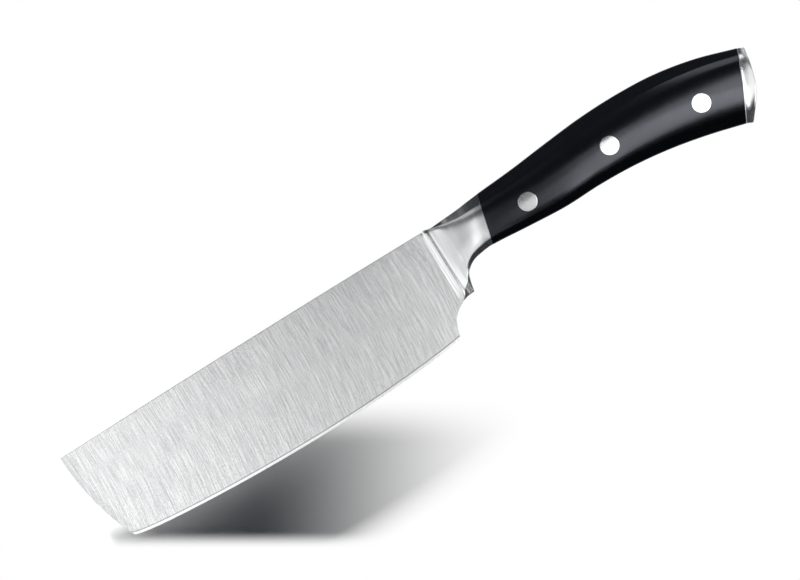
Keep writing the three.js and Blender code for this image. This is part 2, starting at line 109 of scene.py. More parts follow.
class KnifeGripSizes(bpy.types.PropertyGroup):
    """Sizes of bolster, handle, cap and rivets, in the blade's design frame.

    Bead, step and groove lie before the bolster's front.
    """

    bead_foot: milli(4.2, "Foot of the bead")
    bead_root: milli(0.35, "Run of the bead's foot into the blade")
    step_place: milli(3.4, "Step on the bead")
    step_rise: milli(0.3, "How far the step stands out of the blade")
    bead_place: milli(2.4, "Crest of the bead")
    bead_half: milli(2.0, "Half the thickness at the bead")
    bead_rise: milli(0.35, "Rise of the bead over the spine")
    groove_place: milli(0.45, "Groove behind the bead")
    groove_half: milli(2.14, "Half the thickness in the groove")
    groove_dip: milli(0.1, "Dip of the groove under the spine")
    guard_place: milli(0.9, "Top of the finger guard's section")
    guard_dip: milli(0.25, "Dip of the guard under the spine")
    guard_foot: milli(2.1, "Foot of the finger guard's section")
    guard_half: milli(2.6, "Half the thickness at the guard")
    bolster_length: milli(23, "From the bolster's front to its seam, along the top")
    seam_top: milli(1.4, "Top of the seam over the spine")
    seam_bottom: milli(18.7, "Bottom of the seam under the spine")
    seam_lean: milli(5.1, "How far the seam's foot lies before its top")
    seam_half: milli(7.6, "Half the thickness at the seam")
    top_tilt: degrees(35, "Lean of the top facet away from the sides")
    foot_tilt: degrees(25, "Lean of the foot facet away from the sides")
    flank_lean: degrees(36, "Lean from which the sides run straight to the top and the foot")
    bead_facet: milli(0.3, "Height of the facet on the bead")
    groove_facet: milli(3, "Height of the facet at the groove's foot")
    guard_facet: milli(4.6, "Height of the facet at the guard's foot")
    seam_top_facet: milli(3.8, "Height of the top facet at the seam")
    seam_foot_facet: milli(2.7, "Height of the foot facet at the seam")
    handle_facet: milli(4.7, "Greatest height of the handle's top facet")
    cap_foot_facet: milli(0.4, "Height of the foot facet at the cap")
    handle_length: milli(116.3, "From seam to seam, along the top")
    handle_hump: milli(7.4, "Rise of the handle's top")
    handle_hollow: milli(3.94, "Rise of the handle's underside")
    handle_half: milli(9.3, "Half the handle's thickness")
    cap_top: milli(4.1, "Top of the cap's seam under the spine")
    cap_bottom: milli(31.1, "Bottom of the cap's seam under the spine")
    cap_lean: milli(12.3, "How far the cap seam's foot lies before its top")
    cap_rim: milli(2.95, "Length of the cap at its top and foot")
    cap_crown: milli(2.55, "How far the cap's end stands out between them")
    cap_curve: number(1.5, "Power of the cap's end curve, where 2 is a parabola")
    cap_draw: number(0.12, "Share by which the cap's sides draw in")
    cap_edge: milli(0.5, "Radius of the cap's edge")
    cap_chamfer: milli(0.15, "Broken corner of the cap at its seam")
    tang_half: milli(1.2, "Half the thickness of the tang")
    bond_gap: milli(0.1, "Between tang and scale")
    seam_gap: milli(0.1, "Between a scale and its neighbours")
    steel_crease: milli(0.12, "Softness of the creases on steel")
    scale_crease: milli(0.4, "Softness of the creases on the scales")
    steel_edge: milli(0.2, "Radius of the edges of bolster and cap")
    scale_edge: milli(0.35, "Radius of the edges of the scales")
    rivet_front: milli(18.75, "Front rivet behind the bolster's seam")
    rivet_front_height: milli(8.95, "Front rivet over the underside")
    rivet_middle: milli(58.2, "Middle rivet behind the bolster's seam")
    rivet_middle_height: milli(11.8, "Middle rivet over the underside")
    rivet_rear: milli(17.2, "Rear rivet before the cap's seam")
    rivet_rear_height: milli(12.85, "Rear rivet over the underside")
    rivet_head: milli(7.8, "Diameter of a rivet's head")
    rivet_shank: milli(5, "Diameter of the hollow shank")
    rivet_pin: milli(3, "Diameter of the pin")
    rivet_seat: milli(5.1, "Seat of a rivet's head over the tang")
    rivet_floor: milli(1.1, "Thickness of the head under the hollow shank")
    rivet_gap: milli(1, "Room at the end of the pin")
    rivet_fit: milli(0.1, "Room between pin and bore")
    rivet_proud: milli(0.004, "How far a head stands out of the scale")
    rivet_chamfer: milli(0.12, "Broken corner of a rivet's head")


class KnifeFinishes(bpy.types.PropertyGroup):
    """Colours and gloss of the knife's materials."""

    steel: tint((0.58, 0.585, 0.59), "Colour of the blade")
    steel_bright: tint((0.84, 0.84, 0.84), "Colour of the grinding's bright lines")
    steel_roughness: number(0.25, "Roughness of the blade")
    grinding_contrast: number(3.0, "Strength of the grinding lines")
    grinding_straight: milli(10, "Depth under the spine down to which the lines run straight")
    grinding_lean: number(2.2, "How fast the lines bend to the front below that")
    root_streaks: milli(17, "Length of blade before the bolster with longer lines")
    # The edge's grind is painted near white as its highlight, and the line where it starts is painted
    # shade
    edge: tint((0.95, 0.95, 0.95), "Colour of the edge's own grind")
    edge_dark: tint((0.12, 0.125, 0.13), "Colour of the line where that grind starts")
    edge_line: milli(0.27, "Half the width of that line")
    front_darkening: number(0.15, "Share of dark in the band along the front")
    satin: tint((0.73, 0.735, 0.74), "Colour of the bolster")
    satin_roughness: number(0.21, "Roughness of the bolster")
    polish: tint((0.78, 0.785, 0.79), "Colour of cap and rivets")
    polish_roughness: number(0.24, "Roughness of the cap")
    rivet_roughness: number(0.15, "Roughness of the rivets")
    scale: tint((0.0012, 0.0013, 0.0018), "Colour of the handle scales")
    scale_sheen: tint((0.86, 0.89, 1.0), "Tint of the light on the scales")
    scale_roughness: number(0.17, "Roughness of the handle scales")
    scale_index: number(1.65, "Refractive index of the handle scales")


class KnifeStage(bpy.types.PropertyGroup):
    """Floor, lights and camera."""

    floor: tint((0.88, 0.88, 0.88), "Colour of the floor")
    floor_size: number(16.0, "Side of the floor in metres")
    # Where the floor's painted white, which hides the key light's shadow, takes over on each side
    shade_right: milli(-61, "Where the floor starts to turn white to the picture's right")
    white_right: milli(57, "Where it is white to the right")
    shade_back: milli(-61, "Where the floor starts to turn white to the picture's top")
    white_back: milli(-41.5, "Where it is white to the top")
    shade_front: milli(-94.5, "Where the floor starts to turn white to the picture's foot")
    white_front: milli(-101.5, "Where it is white to the foot")
    sun: number(16.2, "Strength of the soft key light")
    sun_height: degrees(12.7, "Elevation of the key light")
    sun_side: degrees(90, "Direction of the key light around the knife, from +X")
    sun_angle: degrees(4, "Width of the key light, which softens the shadow")
    box_height: number(0.8, "Height of the soft boxes over the floor in metres")
    sky: tint((0.024, 0.029, 0.034), "Colour of the dim studio above the knife")
    view_turn: degrees(-32, "Roll of the camera, which slants the knife in the picture")
    view_height: number(3.0, "Camera over the blade's middle plane in metres")
    view_width: number(0.31304, "Width of the picture at the blade in metres")
    view_x: milli(-22.32, "Middle of the picture behind the bolster's front")
    view_y: milli(-14.51, "Middle of the picture over the spine")


# Blade outline, in the design frame

# Steps along the edge, first to draw its curve and then to look up its heights
CURVE_STEPS = 2001
EDGE_STEPS = 400


def mix(first, second, share):
    return first + (second - first) * share


def spine_y(blade, x):
    """Height of the spine: a parabola that is highest midway and zero at both ends."""
    return blade.spine_arch * (1 - (2 * x / blade.length + 1) ** 2)


def front_x(blade, y):
    """Place of the round front at a height: a circle about a point on the spine line."""
    radius = blade.front_radius
    return radius - blade.length - np.sqrt(radius ** 2 - y ** 2)


def choil_x(blade, y):
    """Place of the choil at a height: the front half of a circle."""
    return blade.choil_x - np.sqrt(blade.choil_radius ** 2 - (y + blade.choil_depth) ** 2)


def choil_y(blade, x):
    """Height of the choil at a place: the upper half of the same circle."""
    return np.sqrt(blade.choil_radius ** 2 - (x - blade.choil_x) ** 2) - blade.choil_depth


def edge_points(blade, shares):
    """Points of the edge at shares of its length: a cubic Bezier curve from front corner to heel."""
    corner = np.array([front_x(blade, -blade.front_height), -blade.front_height])
    heel = np.array([choil_x(blade, -blade.heel_height), -blade.heel_height])
    after_corner = corner + np.array([-blade.edge_lead_front, -blade.edge_pull_front])
    before_heel = heel - np.array([blade.edge_pull_heel, blade.edge_dip_heel])
    w = np.linspace(0, 1, CURVE_STEPS)[:, None]
    curve = (1 - w) ** 3 * corner + 3 * w * (1 - w) ** 2 * after_corner
    curve = curve + 3 * w ** 2 * (1 - w) * before_heel + w ** 3 * heel
    run = np.concatenate([[0], np.cumsum(np.linalg.norm(np.diff(curve, axis=0), axis=1))])
    return np.interp(shares, run / run[-1], curve[:, 0]), np.interp(shares, run / run[-1], curve[:, 1])


def edge_low(blade):
    return edge_points(blade, np.linspace(0, 1, EDGE_STEPS))[1].min()


def design_origin(blade):
    """Where the design frame's origin lies in the knife's frame, found from the forging's box."""
    low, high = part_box(FORGING)
    return np.array([low.x + blade.length, low.y - edge_low(blade), (low.z + high.z) / 2])


def rounded(half, distance, radius):
    """A half thickness that is rounded off by a quarter circle within a radius of a border."""
    left = np.clip(1 - distance / radius, 0, 1)
    return half - radius * (1 - np.sqrt(1 - left ** 2))


# Mesh building

def wall_faces(rings, points):
    """Quads between neighbouring closed rings of points."""
    row = np.arange(rings - 1)[:, None] * points
    here = np.arange(points)[None, :]
    following = (here + 1) % points
    ahead = row + points
    quads = np.stack([row + here, ahead + here, ahead + following, row + following], axis=-1)
    return quads.reshape(-1, 4)


def two_sided(one, other):
    """Points and faces of a closed body with two sides, each a grid of rings by points.

    Each ring runs up one side and down the other. Quads join the rings, and strips from side to side
    close both ends.
    """
    rings, count = one.shape[:2]
    points = np.concatenate([one, other[:, ::-1]], axis=1).reshape(-1, 3)
    here = np.arange(count - 1)
    back = 2 * count - 1 - here
    first = np.stack([here, here + 1, back - 1, back], axis=-1)
    last = first[:, ::-1] + (rings - 1) * 2 * count
    return points, np.concatenate([wall_faces(rings, 2 * count), first, last]).tolist()


def mirrored(side):
    """The same points on the other side of the middle plane."""
    return side * np.array([1, 1, -1])


def symmetric(side):
    """Points and faces of a closed body that is alike on both sides of the middle plane."""
    return two_sided(side, mirrored(side))


def add_piece(context, name, points, faces, sharp, material, node, marks=None):
    """Puts a piece into the scene, smooth apart from corners over an angle, in place of a solid node.

    Marks are named values of the points, for the material.
    """
    origin = design_origin(context.scene.knife_blade)
    mesh = bpy.data.meshes.new(name)
    mesh.from_pydata((points + origin).tolist(), [], faces)
    mesh.polygons.foreach_set("use_smooth", np.ones(len(mesh.polygons), bool))
    mesh.set_sharp_from_angle(angle=sharp)
    mesh.materials.append(material)
    if mesh.validate():
        raise RuntimeError(f"{name} has faulty faces")
    for mark, values in (marks or {}).items():
        mesh.attributes.new(mark, "FLOAT", "POINT").data.foreach_set("value", values)
    piece = bpy.data.objects.new(name, mesh)
    context.scene.collection.objects.link(piece)
    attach(piece, "root")
    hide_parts(node)
    return piece


# Blade surface

# Rows of the blade's grid: in millimetres behind the front, before the bead and under the spine, and as
# shares of the way along the blade, of the way down it and of the edge's own grind
BEHIND_FRONT = np.array([0, 0.04, 0.1, 0.18, 0.5, 1, 1.6, 2.2, 2.7, 2.95, 3.05, 3.4])
BEFORE_BEAD = np.array([6, 5, 4, 3, 2, 1.2, 0.6, 0.3, 0.16, 0.08, 0])
UNDER_SPINE = np.array([0, 0.02, 0.05, 0.1, 0.18, 0.4])
ALONG_BLADE = np.linspace(0.026, 0.955, 96)
DOWN_BLADE = np.linspace(0.03, 1, 44)
DOWN_EDGE = np.array([[0.08, 0.35, 0.7, 1]])


def smooth_step(share):
    """A smooth rise from 0 to 1: three times the share squared, less twice its cube."""
    return share * share * (3.0 - 2.0 * share)


def blade_half(blade, x, y):
    """Half the blade's thickness: a plane that falls to the front and to the edge.

    It is thinned along the front band, thickens in a smooth step at the root, and is rounded off at
    the spine, the front and the choil.
    """
    fall = (blade.spine_thickness - blade.edge_thickness) * y / edge_low(blade)
    half = (blade.spine_thickness + blade.tip_taper * x / blade.length - fall) / 2
    to_front = x - front_x(blade, y)
    half = half - blade.front_thinning * np.clip(1 - to_front / blade.front_band, 0, 1)
    climb = np.clip((x + blade.root_start) / (blade.root_start - blade.root_end), 0, 1)
    half = half + blade.root_rise * smooth_step(climb)
    to_choil = np.hypot(x - blade.choil_x, y + blade.choil_depth) - blade.choil_radius
    for distance in (spine_y(blade, x) - y, to_front, to_choil):
        half = rounded(half, np.maximum(distance, 0), blade.rounding)
    return np.maximum(half, blade.edge_land / 2)


def edge_width(blade):
    """Width of the edge's own grind on each side."""
    return (blade.edge_thickness - blade.edge_land) / 2 / math.tan(blade.edge_angle)


def blade_marks(blade, points):
    """Each point's height over the edge and its distance behind the front."""
    edge_x, edge_y = edge_points(blade, np.linspace(0, 1, EDGE_STEPS))
    over = points[:, 1] - np.interp(points[:, 0], edge_x, edge_y)
    behind = points[:, 0] - front_x(blade, points[:, 1])
    return {"over_edge": over, "behind_front": behind}


def blade_side(blade, grip):
    """The blade's left side as a grid from front to bead and from edge to spine.

    Heights run straight from edge to spine. Places along the blade are a Coons patch between the
    round front and the line of bead and choil. The last rows are the edge's own flat grind.
    """
    along = np.concatenate([BEHIND_FRONT * MM / blade.length, ALONG_BLADE,
                            1 - BEFORE_BEAD * MM / blade.length])
    edge_x, edge_y = (values[:, None] for values in edge_points(blade, along))
    along = along[:, None]
    top_x = mix(-blade.length, -grip.bead_place, along)
    height = spine_y(blade, top_x) - edge_y
    bevel = edge_width(blade)
    down = np.concatenate([UNDER_SPINE * MM / blade.heel_height, DOWN_BLADE])[None, :]
    bevel_down = 1 - bevel / height
    face = down * bevel_down
    keen = mix(bevel_down, 1, DOWN_EDGE)
    drop = np.concatenate([face, keen], axis=1)
    front_place = front_x(blade, -blade.front_height * drop)
    back_y = -blade.heel_height * drop
    bead_y = choil_y(blade, -grip.bead_place)
    back_place = np.where(back_y > bead_y, -grip.bead_place, choil_x(blade, np.minimum(back_y, bead_y)))
    corner_x = mix(edge_x[0], edge_x[-1], along)
    x = mix(front_place, back_place, along) + drop * (edge_x - corner_x)
    y = mix(spine_y(blade, top_x), edge_y, drop)
    half = blade_half(blade, x, y)
    rows = down.shape[1]
    share = (drop[:, rows:] - bevel_down) / (1 - bevel_down)
    half[:, rows:] = mix(half[:, rows - 1:rows], blade.edge_land / 2, share)
    return np.stack([x, y, half], axis=-1)[:, ::-1]


# Grip sections: top x, top y, bottom x, bottom y, half thickness, squareness above and below the crown,
# where 2 is an ellipse, and the heights of the facets at the top and the foot
NECK_SQUARENESS = (14, 3.2)
SEAM_SQUARENESS = (2.8, 3.6)
CAP_FOOT_SQUARENESS = 2.1

# Shares of the way from guard to seam: top, its rise, finger curve, its rise and side, then squareness
# above and below, and shares of the seam's two facets
BOLSTER_SHAPE = np.array([
    [0.14, 0.12, 0.063, 0.35, 0.15, 7.0, 3.2, 0.30, 0.90],
    [0.32, 0.24, 0.184, 0.68, 0.40, 5.5, 3.3, 0.55, 0.40],
    [0.55, 0.42, 0.405, 0.89, 0.69, 4.2, 3.5, 0.80, 0.50],
    [0.77, 0.73, 0.677, 0.97, 0.90, 3.3, 3.6, 0.93, 0.75],
])

# Shares of the handle's length, of its lean, hump, hollow and side, then squareness above, and the share
# of the greatest top facet
HANDLE_SHAPE = np.array([
    [1 / 7, 0.07, 0.255, 0.094, 0.42, 2.50, 0.92],
    [2 / 7, 0.15, 0.577, 0.247, 0.75, 2.35, 1.00],
    [3 / 7, 0.26, 0.859, 0.745, 0.88, 2.30, 1.00],
    [4 / 7, 0.40, 0.992, 0.999, 0.94, 2.35, 0.98],
    [5 / 7, 0.57, 0.943, 0.936, 1.00, 2.60, 0.94],
    [6 / 7, 0.76, 0.610, 0.573, 1.00, 3.10, 0.77],
    [1.00, 1.00, 0.000, 0.000, 0.94, 4.00, 0.47],
])


def guard_row(blade, grip):
    foot = choil_y(blade, grip.guard_foot)
    return [grip.guard_place, -grip.guard_dip, grip.guard_foot, foot, grip.guard_half,
            *NECK_SQUARENESS, grip.bead_facet, grip.guard_facet]


def neck_rows(blade, grip):
    """Sections out of the blade, over step and bead and through the groove to the guard."""
    side = blade.spine_thickness / 2
    shape = [
        (-grip.bead_foot - grip.bead_root, -grip.bead_root, side - grip.bead_root, grip.bead_facet),
        (-grip.bead_foot + grip.bead_root, 0, side + grip.bead_root / 2, grip.bead_facet),
        (-grip.step_place, 0, side + grip.step_rise, grip.bead_facet),
        (-grip.bead_place, grip.bead_rise, grip.bead_half, 2 * grip.bead_facet),
        (-grip.groove_place, -grip.groove_dip, grip.groove_half, grip.groove_facet),
    ]
    rows = [[x, spine_y(blade, x) + rise, x, choil_y(blade, x), half,
             *NECK_SQUARENESS, grip.bead_facet, foot] for x, rise, half, foot in shape]
    return np.array([*rows, guard_row(blade, grip)])


def grip_rows(blade, grip):
    """Sections from the guard over the bolster's seam to the cap's seam."""
    guard = np.array(guard_row(blade, grip))
    seam = np.array([grip.bolster_length, grip.seam_top, grip.bolster_length - grip.seam_lean,
                     -grip.seam_bottom, grip.seam_half, *SEAM_SQUARENESS,
                     grip.seam_top_facet, grip.seam_foot_facet])
    bolster = np.column_stack([
        mix(guard[:5], seam[:5], BOLSTER_SHAPE[:, :5]),
        BOLSTER_SHAPE[:, 5:7],
        BOLSTER_SHAPE[:, 7:] * seam[7:],
    ])
    share, lean, hump, hollow, side, above, facet = HANDLE_SHAPE.T
    top_x = grip.bolster_length + share * grip.handle_length
    handle = np.column_stack([
        top_x,
        mix(grip.seam_top, -grip.cap_top, share) + hump * grip.handle_hump,
        top_x - mix(grip.seam_lean, grip.cap_lean, lean),
        mix(-grip.seam_bottom, -grip.cap_bottom, share) + hollow * grip.handle_hollow,
        mix(grip.seam_half, grip.handle_half, side),
        above,
        mix(SEAM_SQUARENESS[1], CAP_FOOT_SQUARENESS, share),
        facet * grip.handle_facet,
        mix(grip.seam_foot_facet, grip.cap_foot_facet, np.minimum(2 * share, 1)),
    ])
    return np.vstack([guard, bolster, seam, handle])


def sections_at(rows, top_x):
    """Sections whose tops lie at given places, on cubic Hermite curves through the rows.

    The slope at a row is that from the row before to the row after, and at the ends to the neighbour.
    """
    final = len(rows) - 2
    i = np.clip(np.searchsorted(rows[:, 0], top_x, side="left") - 1, 0, final)
    before, start = rows[np.maximum(i - 1, 0)], rows[i]
    end, after = rows[i + 1], rows[np.minimum(i + 2, final + 1)]
    span = (end - start)[:, :1]
    w = (np.asarray(top_x)[:, None] - start[:, :1]) / span
    leave = span * (end - before) / (end - before)[:, :1]
    arrive = span * (after - start) / (after - start)[:, :1]
    step = end - start
    return start + w * (leave + w * (3 * step - 2 * leave - arrive + w * (leave + arrive - 2 * step)))


# Points across a quarter section: from crown to crease and on to the edge, then the round edge's turn,
# and shares of the way along the flat back
CROWN_POINTS = 26
FLAT_POINTS = 10
EDGE_TURN = np.radians(np.linspace(15, 90, 6))[None, :]
BACK_SHARES = np.array([[0.1, 0.5, 1.0]])
# Most of the way from bend to top that a soft crease takes, how many creases the edge keeps clear of it,
# and most of the width at the top that a round edge takes
CREASE_MOST = 0.3
CREASE_CLEAR = 1.2
EDGE_MOST = 0.6
# Steps of a search by halving, and a value that keeps it from dividing by zero
HALVINGS = 44
TINY = 1e-12
# Sections along bolster and handle, and how near to the middle plane a steel side ends
BOLSTER_SECTIONS = 70
HANDLE_SECTIONS = 130
STEEL_BACK = 0.05 * MM


class Quarter:
    """A quarter of grip sections, above or below the crown, with one row for each section.

    Seen along the handle it is a superellipse: out to the side and reach to the top or foot, as shares
    of half the thickness and half the height, each to the power of the squareness, add up to one. Where
    it leans by an angle it runs on straight, and a straight facet cuts it off beyond a crease.
    """

    def __init__(self, sections, above, grip):
        self.half = sections[:, 4:5]
        self.power = sections[:, 5:6] if above else sections[:, 6:7]
        facet = sections[:, 7:8] if above else sections[:, 8:9]
        run = np.hypot(sections[:, 0] - sections[:, 2], sections[:, 1] - sections[:, 3])
        self.height = run[:, None] / 2
        self.slope = math.tan(grip.top_tilt if above else grip.foot_tilt)
        self.crease = np.clip(1 - facet / self.height, 0, 1)
        self.lean = math.tan(grip.flank_lean)
        self.turn = self.lean_place()

    def curve(self, reach):
        return self.half * np.maximum(1 - reach ** self.power, 0) ** (1 / self.power)

    def lean_place(self):
        """Reach at which the superellipse leans by the flank's angle, by halving."""
        low, high = np.zeros_like(self.half), np.ones_like(self.half)
        for _ in range(HALVINGS):
            middle = (low + high) / 2
            left = np.maximum(1 - middle ** self.power, TINY)
            steep = middle ** (self.power - 1) / left ** (1 - 1 / self.power)
            before = steep * self.half / self.height < self.lean
            low, high = np.where(before, middle, low), np.where(before, high, middle)
        return low

    def swell(self, reach):
        straight = self.curve(self.turn) - (reach - self.turn) * self.height * self.lean
        return np.where(reach > self.turn, straight, self.curve(np.minimum(reach, 1)))

    def out(self, reach):
        facet = self.swell(self.crease) - (reach - self.crease) * self.height * self.slope
        return np.where(reach > self.crease, np.minimum(self.swell(reach), facet), self.swell(reach))

    def spread(self, last, count):
        """Reaches from the crown to last, evenly spaced by their angle around the section's middle."""
        angle = np.arctan2(last, self.curve(last) / self.half)
        turn = angle * np.linspace(0, 1, count)[None, :]
        sine, cosine = np.sin(turn), np.cos(turn)
        return sine / (sine ** self.power + cosine ** self.power) ** (1 / self.power)

    def profile(self, end_out, crease, edge):
        """Reach and out from the crown over crease and round edge, and along the flat back to end_out."""
        bend = np.minimum(self.crease, self.turn)
        hold = np.minimum(crease / self.height, CREASE_MOST * (1 - bend))
        radius = np.minimum(edge, EDGE_MOST * self.out(np.ones_like(bend)))
        brink = np.maximum(1 - radius / self.height, bend + CREASE_CLEAR * hold)
        flat = mix(bend + hold, brink, np.linspace(0, 1, FLAT_POINTS)[None, :])
        face = np.concatenate([self.spread(bend - hold, CROWN_POINTS), bend, flat], axis=1)
        round_reach = mix(brink, 1, np.sin(EDGE_TURN))
        round_out = self.out(round_reach) - radius * (1 - np.cos(EDGE_TURN))
        back_out = mix(round_out[:, -1:], end_out, BACK_SHARES)
        back_out = np.minimum(back_out, round_out[:, -1:])
        reach = np.concatenate([face, round_reach, np.ones_like(back_out)], axis=1)
        out = np.concatenate([self.out(face), round_out, back_out], axis=1)
        return reach, out


def on_lines(sections, reach):
    """Places and heights on the sections' own lines, at reaches from -1 at the foot to 1 at the top."""
    share = (1 + reach) / 2
    return mix(sections[:, 2:3], sections[:, 0:1], share), mix(sections[:, 3:4], sections[:, 1:2], share)


def side_grid(sections, grip, end_out, crease, edge):
    """Left side of grip sections as a grid, from the bottom over the crown to the top."""
    up, up_out = Quarter(sections, True, grip).profile(end_out, crease, edge)
    down, down_out = Quarter(sections, False, grip).profile(end_out, crease, edge)
    reach = np.concatenate([-down[:, ::-1], up[:, 1:]], axis=1)
    out = np.concatenate([down_out[:, ::-1], up_out[:, 1:]], axis=1)
    return np.stack([*on_lines(sections, reach), out], axis=-1)


def grip_height(rows, grip, x, y):
    """How far the grip stands out at points of the design plane.

    The section through a point is found by halving, and the point's share of its line gives the reach.
    """
    flat_x, flat_y = x.ravel(), y.ravel()
    low = np.full(flat_x.shape, rows[0, 0])
    high = np.full(flat_x.shape, rows[-1, 0] + grip.cap_lean)
    for _ in range(HALVINGS):
        middle = (low + high) / 2
        s = sections_at(rows, middle)
        across = (s[:, 0] - s[:, 2]) * (flat_y - s[:, 3]) - (s[:, 1] - s[:, 3]) * (flat_x - s[:, 2])
        low, high = np.where(across < 0, middle, low), np.where(across < 0, high, middle)
    s = sections_at(rows, low)
    share = (flat_y - s[:, 3]) / (s[:, 1] - s[:, 3])
    reach = (2 * share - 1)[:, None]
    above = Quarter(s, True, grip).out(np.abs(reach))
    below = Quarter(s, False, grip).out(np.abs(reach))
    return np.where(reach > 0, above, below)[:, 0].reshape(x.shape)


def bolster_side(blade, grip):
    """Left side of the bolster: a loft through the neck's sections and on to the seam."""
    neck = neck_rows(blade, grip)
    front = sections_at(neck, np.linspace(neck[0, 0], neck[-1, 0], BOLSTER_SECTIONS))
    places = np.linspace(neck[-1, 0], grip.bolster_length, BOLSTER_SECTIONS)[1:]
    back = sections_at(grip_rows(blade, grip), places)
    return side_grid(np.vstack([front, back]), grip, STEEL_BACK, grip.steel_crease, grip.steel_edge)


def handle_sections(blade, grip, gap):
    """Sections of the handle from seam to seam, a gap away from both."""
    places = np.linspace(gap, grip.handle_length - gap, HANDLE_SECTIONS) + grip.bolster_length
    return sections_at(grip_rows(blade, grip), places)


# Where a scale's flat back ends over the tang, in bond gaps
SCALE_LIP = 1.8


def scale_side(blade, grip):
    """Left side of a scale: a loft from seam to seam that ends just above the tang."""
    sections = handle_sections(blade, grip, grip.seam_gap)
    lip = grip.tang_half + SCALE_LIP * grip.bond_gap
    return side_grid(sections, grip, lip, grip.scale_crease, grip.scale_edge)


# Shares of the tang's half thickness at its top and foot, out to the side, and its broken corner
TANG_OUT = np.array([[0.04, 0.5, 0.92, 1.0]])
TANG_CORNER = np.array([[0, 0, 0, 0.06 * MM]])


def tang_side(blade, grip):
    """Left side of the tang: a flat plate with broken corners, whose top and foot follow the handle."""
    sections = handle_sections(blade, grip, 0)
    fall = TANG_CORNER / Quarter(sections, True, grip).height
    reach = np.concatenate([fall - 1, (1 - fall)[:, ::-1]], axis=1)
    out = grip.tang_half * np.concatenate([TANG_OUT, TANG_OUT[:, ::-1]], axis=1)
    return np.stack([*on_lines(sections, reach), np.broadcast_to(out, reach.shape)], axis=-1)


# Rings of the cap: along its chamfer and drawn in there, in chamfers, then along its sides, round its
# edge and over its end
CAP_CHAMFER_ALONG = np.array([0, 0.4, 1, 1.5])
CAP_CHAMFER_DRAW = np.array([1, 0.45, 0.06, 0])
CAP_SIDES = np.linspace(0.1, 0.97, 24)
CAP_TURN = np.radians(np.linspace(0, 90, 12))
CAP_END = np.linspace(1, 0.02, 22)[1:]


def cap_side(blade, grip):
    """Left side of the butt cap: the handle's last section carried along its axis.

    It starts with a small chamfer. Its sides draw in by the square of the way along, a quarter-round
    edge leads over to the end, and the end stands out by a power curve of the height alone.
    """
    last = sections_at(grip_rows(blade, grip), np.array([grip.bolster_length + grip.handle_length]))
    ring = side_grid(last, grip, STEEL_BACK, grip.steel_crease, grip.steel_edge)
    top, bottom = last[0, 0:2], last[0, 2:4]
    size = np.linalg.norm(top - bottom) / 2
    up = np.append((top - bottom) / (2 * size), 0)
    axis = np.array([up[1], -up[0], 0])
    middle = np.append((top + bottom) / 2, 0)
    rim = 1 - grip.cap_edge / size
    near_seam = grip.cap_chamfer / grip.cap_rim * CAP_CHAMFER_ALONG
    at_end = np.ones(len(CAP_TURN) + len(CAP_END))
    along = np.concatenate([near_seam, CAP_SIDES, at_end])[:, None]
    scale = np.concatenate([
        1 - grip.cap_chamfer / size * CAP_CHAMFER_DRAW,
        np.ones(len(CAP_SIDES)),
        mix(rim, 1, np.cos(CAP_TURN)),
        CAP_END * rim,
    ])
    before_end = np.ones(len(near_seam) + len(CAP_SIDES))
    inset = grip.cap_edge * np.concatenate([before_end, 1 - np.sin(CAP_TURN), np.zeros(len(CAP_END))])
    offset = (ring - middle) * scale[:, None, None]
    height = np.abs(offset @ up) / size
    end = grip.cap_rim + grip.cap_crown * (1 - height ** grip.cap_curve)
    out = mix(grip.seam_gap, end - inset[:, None], along)
    offset[..., 2] *= 1 - grip.cap_draw * along ** 2
    return middle + offset + axis * out[..., None]


def rivet_places(blade, grip):
    """Middles of the rivets: on the section at a place, a height up from its bottom."""
    end = grip.bolster_length + grip.handle_length
    at = np.array([grip.bolster_length + grip.rivet_front, grip.bolster_length + grip.rivet_middle,
                   end - grip.rivet_rear])
    heights = np.array([grip.rivet_front_height, grip.rivet_middle_height, grip.rivet_rear_height])
    sections = sections_at(grip_rows(blade, grip), at)
    line = sections[:, 0:2] - sections[:, 2:4]
    return sections[:, 2:4] + line / np.linalg.norm(line, axis=1)[:, None] * heights[:, None]


# Points round a rivet, rings over its head, the innermost ring's radius and the turn of its broken corner
RIVET_POINTS = 72
HEAD_RINGS = 14
HEAD_MIDDLE = 0.3 * MM
RIVET_TURN = np.radians(np.array([0, 30, 60, 90]))
# Room at the end of the hollow shank, in fits
SHANK_ROOM = 6


